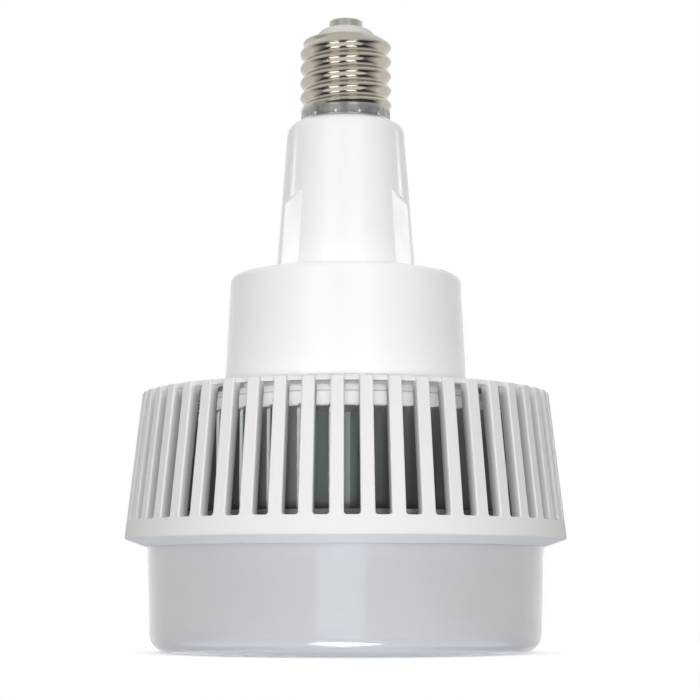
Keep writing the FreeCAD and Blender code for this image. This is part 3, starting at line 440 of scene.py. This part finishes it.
def nickel(name):
    """Bright plate over rolled sheet: fine lines round the axis, faint warm clouds and a dull skirt."""
    material, tree, shader = new_material(name)
    shader.inputs["Metallic"].default_value = 1.0
    level = height(tree)
    skirt = falling(tree, level, SKIRT_TOP)
    foot = falling(tree, level, SKIRT_FOOT)
    above_foot = rising(tree, level, SKIRT_FOOT)
    dent = falling(tree, reach(tree), STAKE_MARK)
    staked = math_node(tree, "MULTIPLY", math_node(tree, "MULTIPLY", dent, above_foot), skirt)
    clouds = noise(tree, place(tree), NICKEL_CLOUD_SCALE, detail=5.0)
    bright = blend_colours(tree, clouds, *NICKEL_BRIGHT)
    scuffs = turned_noise(tree, NICKEL_SCUFF_SCALES, detail=5.0)
    dull = blend_colours(tree, rising(tree, scuffs, NOISE_RANGE), *NICKEL_DULL)
    lightened = mix_colours(tree, foot, dull, SKIRT_FOOT_TINT)
    marked = mix_colours(tree, staked, lightened, STAKE_MARK_TINT)
    tree.links.new(mix_colours(tree, skirt, bright, marked), shader.inputs["Base Color"])
    lines = turned_noise(tree, NICKEL_LINE_SCALES, detail=2.0)
    polish = spread(tree, lines, NICKEL_POLISH)
    matt = math_node(tree, "SUBTRACT", skirt, staked)
    dulling = math_node(tree, "MULTIPLY", matt, SKIRT_ROUGHNESS)
    tree.links.new(math_node(tree, "ADD", polish, dulling), shader.inputs["Roughness"])
    tree.links.new(bump(tree, lines, NICKEL_LINE_DEPTH), shader.inputs["Normal"])
    return material


def brushed_button(name):
    """Dull plated button, brushed along its side, with a few pits."""
    material, tree, shader = new_material(name)
    shader.inputs["Metallic"].default_value = 1.0
    streaks = turned_noise(tree, BUTTON_STREAK_SCALES, detail=4.0)
    tree.links.new(blend_colours(tree, streaks, *BUTTON_COLOURS), shader.inputs["Base Color"])
    tree.links.new(spread(tree, streaks, BUTTON_ROUGHNESS), shader.inputs["Roughness"])
    pits = noise(tree, place(tree), BUTTON_PIT_SCALE, detail=1.0)
    tree.links.new(bump(tree, pits, BUTTON_PIT_DEPTH), shader.inputs["Normal"])
    return material


def cast_aluminium(name):
    """Bare casting: pale at the hub, with painted shade along the fins and a painted highlight at their
    tips, stained at its base.
    """
    material, tree, shader = new_material(name)
    shader.inputs["Metallic"].default_value = CASTING_METALLIC
    where = place(tree)
    distance = reach(tree)
    patches = noise(tree, where, CASTING_PATCH_SCALE, detail=5.0)
    unshaded = blend_colours(tree, patches, *CASTING_UNSHADED)
    fin_shade = blend_colours(tree, patches, *CASTING_SHADED)
    # Painted shade along the fins, past the hub
    skin = mix_colours(tree, rising(tree, distance, FIN_PAINTED_SHADE), unshaded, fin_shade)
    # Painted highlight on the fins' tips
    lightened = mix_colours(tree, rising(tree, distance, FIN_TIP_PAINTED_HIGHLIGHT), skin, unshaded)
    blots = spread(tree, noise(tree, where, STAIN_SCALE), STAIN_SHARE, STAIN_NOISE_RANGE)
    stain = math_node(tree, "MULTIPLY", falling(tree, height(tree), STAIN), blots)
    tree.links.new(mix_colours(tree, stain, lightened, STAIN_TINT), shader.inputs["Base Color"])
    sand = noise(tree, where, CASTING_SAND_SCALE, detail=4.0)
    tree.links.new(spread(tree, sand, CASTING_ROUGHNESS), shader.inputs["Roughness"])
    tree.links.new(bump(tree, sand, CASTING_SAND_DEPTH), shader.inputs["Normal"])
    return material


def zinc_steel(name):
    """Zinc plate with fine marks."""
    material, tree, shader = new_material(name)
    shader.inputs["Metallic"].default_value = 1.0
    marks = noise(tree, place(tree), ZINC_MARK_SCALE)
    tree.links.new(blend_colours(tree, marks, *ZINC_COLOURS), shader.inputs["Base Color"])
    tree.links.new(spread(tree, marks, ZINC_ROUGHNESS), shader.inputs["Roughness"])
    tree.links.new(bump(tree, marks, ZINC_MARK_DEPTH), shader.inputs["Normal"])
    return material


def give_materials():
    """Each piece gets a material of its own, or else the one of its slot."""
    by_slot = {slot: moulded(slot, *look) for slot, look in MOULDED_SLOTS.items()}
    by_slot["nickel_plate"] = nickel("nickel_plate")
    by_slot["zinc_steel"] = zinc_steel("zinc_steel")
    by_slot["cast_aluminium"] = cast_aluminium("cast_aluminium")
    by_slot["opal_moulding"] = opal("opal_moulding")
    by_node = {
        "vent_cowl": slatted("cowl_white"),
        "driver_tray": seamed("tray_white"),
        "centre_contact": brushed_button("brushed_button"),
    }
    for subpart in frame["record"]["subparts"]:
        finish = by_node.get(subpart["node"], by_slot[subpart["material_slot"]])
        node = frame["nodes"][subpart["node"]]
        node.data.materials.clear()
        node.data.materials.append(finish)


# Studio
def outward(azimuth):
    """Level direction from the lamp's axis towards an azimuth."""
    turn = math.radians(azimuth)
    return Vector((math.sin(turn), -math.cos(turn), 0.0))


def ray_shares(tree):
    """1 for camera rays, and 1 for the rays of gloss and transmission."""
    rays = tree.nodes.new("ShaderNodeLightPath").outputs
    mirrored = math_node(tree, "MAXIMUM", rays["Is Glossy Ray"], rays["Is Transmission Ray"])
    return rays["Is Camera Ray"], mirrored


def build_world():
    """White for the camera, and for gloss a room that is bright behind and above, dark low in front."""
    world = bpy.data.worlds.new("studio")
    bpy.context.scene.world = world
    world.use_nodes = True
    tree = world.node_tree
    tree.nodes.clear()
    direction = tree.nodes.new("ShaderNodeSeparateXYZ")
    tree.links.new(tree.nodes.new("ShaderNodeTexCoord").outputs["Generated"], direction.inputs[0])
    wall = spread(tree, direction.outputs["Z"], (LOW_ROOM, WALL), WALL_EDGE)
    ceiling = spread(tree, direction.outputs["Z"], (0.0, CEILING), CEILING_EDGE)
    backdrop = spread(tree, direction.outputs["Y"], (0.0, BACKDROP), BACKDROP_EDGE)
    room = math_node(tree, "MAXIMUM", math_node(tree, "MAXIMUM", wall, ceiling), backdrop)
    direct, mirrored = ray_shares(tree)
    lighting = math_node(tree, "MULTIPLY", math_node(tree, "SUBTRACT", 1.0, mirrored), AMBIENT)
    level = math_node(tree, "ADD", lighting, math_node(tree, "MULTIPLY", mirrored, room))
    background = tree.nodes.new("ShaderNodeBackground")
    background.inputs["Color"].default_value = (1.0, 1.0, 1.0, 1.0)
    seen = math_node(tree, "MAXIMUM", level, direct)
    tree.links.new(seen, background.inputs["Strength"])
    output = tree.nodes.new("ShaderNodeOutputWorld")
    tree.links.new(background.outputs[0], output.inputs["Surface"])


def build_floor():
    """Pale floor that reads as white to the camera and to gloss, and keeps the lamp's shadow."""
    mesh = bpy.data.meshes.new("floor")
    rim = [outward(360.0 * side / FLOOR_SIDES) * FLOOR_RADIUS for side in range(FLOOR_SIDES)]
    mesh.from_pydata(rim, [], [tuple(range(FLOOR_SIDES))])
    floor = bpy.data.objects.new("floor", mesh)
    floor.location.z = cad_box[0][2] - FLOOR_DROP
    bpy.context.collection.objects.link(floor)
    material, tree, shader = new_material("floor")
    shader.inputs["Base Color"].default_value = (FLOOR_ALBEDO, FLOOR_ALBEDO, FLOOR_ALBEDO, 1.0)
    shader.inputs["Roughness"].default_value = FLOOR_ROUGHNESS
    shader.inputs["Specular IOR Level"].default_value = 0.0
    shader.inputs["Emission Color"].default_value = (1.0, 1.0, 1.0, 1.0)
    seen = math_node(tree, "MAXIMUM", *ray_shares(tree))
    tree.links.new(math_node(tree, "MULTIPLY", seen, FLOOR_LIFT), shader.inputs["Emission Strength"])
    mesh.materials.append(material)


def area_light(name, width, depth, power, lights=True, mirrored=True):
    """A soft light that the camera doesn't see, and that lights matt surfaces, shows in gloss, or both."""
    data = bpy.data.lights.new(name, "AREA")
    data.shape = "RECTANGLE"
    data.size = width
    data.size_y = depth
    data.energy = power
    light = bpy.data.objects.new(name, data)
    light.visible_camera = False
    light.visible_diffuse = lights
    light.visible_glossy = mirrored
    bpy.context.collection.objects.link(light)
    return light


def softbox(name, azimuth, distance, low, high, width, power, **seen_by):
    """An upright soft light round the lamp, from a low to a high edge, that faces the lamp's axis."""
    light = area_light(name, width, high - low, power, **seen_by)
    away = outward(azimuth)
    light.location = away * distance + Vector((0.0, 0.0, (low + high) / 2))
    light.rotation_mode = "QUATERNION"
    light.rotation_quaternion = away.to_track_quat("Z", "Y")
    return light


def lid_fill(name, azimuth):
    """A small soft light inside the cowl that shines straight up."""
    light = area_light(name, LID_FILL_WIDTH, LID_FILL_DEPTH, LID_FILL_POWER, mirrored=False)
    light.location = outward(azimuth) * LID_FILL_DISTANCE + Vector((0.0, 0.0, LID_FILL_HEIGHT))
    light.rotation_euler = (math.pi, 0.0, math.radians(azimuth))
    return light


def chosen_nodes(name, node_names):
    """A collection of some of the lamp's pieces, for light linking."""
    chosen = bpy.data.collections.new(name)
    for node_name in node_names:
        chosen.objects.link(frame["nodes"][node_name])
    return chosen


def light_only(light, receivers, blockers=()):
    """Let a light fall on some pieces alone, with the shadows of the blockers alone if there are any."""
    light.light_linking.receiver_collection = chosen_nodes(light.name + "_receivers", receivers)
    if blockers:
        light.light_linking.blocker_collection = chosen_nodes(light.name + "_blockers", blockers)


def build_lights():
    """Softboxes round and over the lamp, and linked lights for the neck and for what the slots show."""
    for row in LIGHTING_BOXES:
        softbox(*row, mirrored=False)
    for row in MIRRORED_BOXES:
        softbox(*row, lights=False)
    for row in KICKERS:
        light_only(softbox(*row, lights=False), ["neck_housing"])
    ring_fill = softbox(*RING_BEAM, mirrored=False)
    ring_fill.data.spread = math.radians(RING_BEAM_SPREAD)
    light_only(ring_fill, RING_NODES, RING_NODES)
    for row in LID_FILLS:
        light_only(lid_fill(*row), ["vent_cowl"], ["driver_tray"])
    top = area_light("top_softbox", TOP_BOX_WIDTH, TOP_BOX_WIDTH, TOP_BOX_POWER, mirrored=False)
    top.location.z = TOP_BOX_HEIGHT


def build_card(name, corners, colour, level, fade=None):
    """A card that only gloss sees, and that fades from one distance from the axis to another if given."""
    mesh = bpy.data.meshes.new(name)
    mesh.from_pydata(corners, [], [tuple(range(len(corners)))])
    card = bpy.data.objects.new(name, mesh)
    bpy.context.collection.objects.link(card)
    material, tree, shader = new_material(name)
    shader.inputs["Base Color"].default_value = (0.0, 0.0, 0.0, 1.0)
    shader.inputs["Emission Color"].default_value = (*colour, 1.0)
    shader.inputs["Emission Strength"].default_value = level
    if fade:
        strength = spread(tree, reach(tree), (level, 0.0), fade)
        tree.links.new(strength, shader.inputs["Emission Strength"])
    mesh.materials.append(material)
    card.visible_camera = False
    card.visible_diffuse = False
    card.visible_transmission = False
    card.visible_shadow = False


def foot_corners(radius, inner, outer, turn, lift):
    """Outline of a card that lies along a circle and bulges inwards and outwards from it."""
    shares = [step / FOOT_CARD_STEPS for step in range(-FOOT_CARD_STEPS, FOOT_CARD_STEPS + 1)]
    outline = [(share, outer) for share in shares] + [(share, -inner) for share in reversed(shares)]
    corners = []
    for share, bulge in outline:
        away = outward(CAMERA_AZIMUTH + share * turn)
        distance = radius + bulge * (FOOT_CARD_BULGE - share * share)
        corners.append(away * distance + Vector((0.0, 0.0, lift)))
    return corners


def build_cards():
    """One card stands in front of the diffuser, and three lie at its foot."""
    build_card("front_card", [
        (FRONT_CARD_LEFT, -FRONT_CARD_AWAY, 0.0),
        (FRONT_CARD_RIGHT, -FRONT_CARD_AWAY, 0.0),
        (FRONT_CARD_RIGHT, -FRONT_CARD_AWAY, FRONT_CARD_HEIGHT),
        (FRONT_CARD_LEFT, -FRONT_CARD_AWAY, FRONT_CARD_HEIGHT),
    ], FRONT_CARD_COLOUR, FRONT_CARD_LEVEL)
    lens = foot_corners(
        FOOT_LENS_RADIUS, FOOT_LENS_REACH, FOOT_LENS_REACH, FOOT_LENS_TURN, 2 * FOOT_CARD_LIFT)
    build_card("foot_lens", lens, FOOT_LENS_COLOUR, FOOT_LENS_LEVEL)
    arc = foot_corners(
        FOOT_ARC_NEAR, 0.0, FOOT_ARC_FAR - FOOT_ARC_NEAR, FOOT_ARC_TURN, FOOT_CARD_LIFT)
    build_card("foot_arc", arc, FOOT_ARC_COLOUR, FOOT_ARC_LEVEL, (FOOT_ARC_NEAR, FOOT_ARC_FAR))
    edge = foot_corners(
        FOOT_EDGE_NEAR, 0.0, FOOT_EDGE_FAR - FOOT_EDGE_NEAR, FOOT_EDGE_TURN, -FOOT_CARD_LIFT)
    build_card("foot_edge", edge, FOOT_EDGE_COLOUR, FOOT_EDGE_LEVEL, (FOOT_EDGE_FAR, FOOT_EDGE_NEAR))


def build_camera():
    """The camera stands where the photograph's curved rims put it."""
    data = bpy.data.cameras.new("camera")
    data.sensor_width = SENSOR_MM
    data.lens = SENSOR_MM * FOCAL_PIXELS / IMAGE_PIXELS
    camera = bpy.data.objects.new("camera", data)
    back = outward(CAMERA_AZIMUTH) * CAMERA_DISTANCE
    aside = outward(CAMERA_AZIMUTH + 90.0) * CAMERA_ASIDE
    camera.location = back + aside + Vector((0.0, 0.0, CAMERA_HEIGHT))
    camera.rotation_euler = (math.radians(90.0 + CAMERA_PITCH), 0.0, math.radians(CAMERA_AZIMUTH))
    bpy.context.collection.objects.link(camera)
    bpy.context.scene.camera = camera


give_materials()
build_world()
build_floor()
build_cards()
build_lights()
build_camera()

bpy.context.scene.view_settings.view_transform = "Standard"
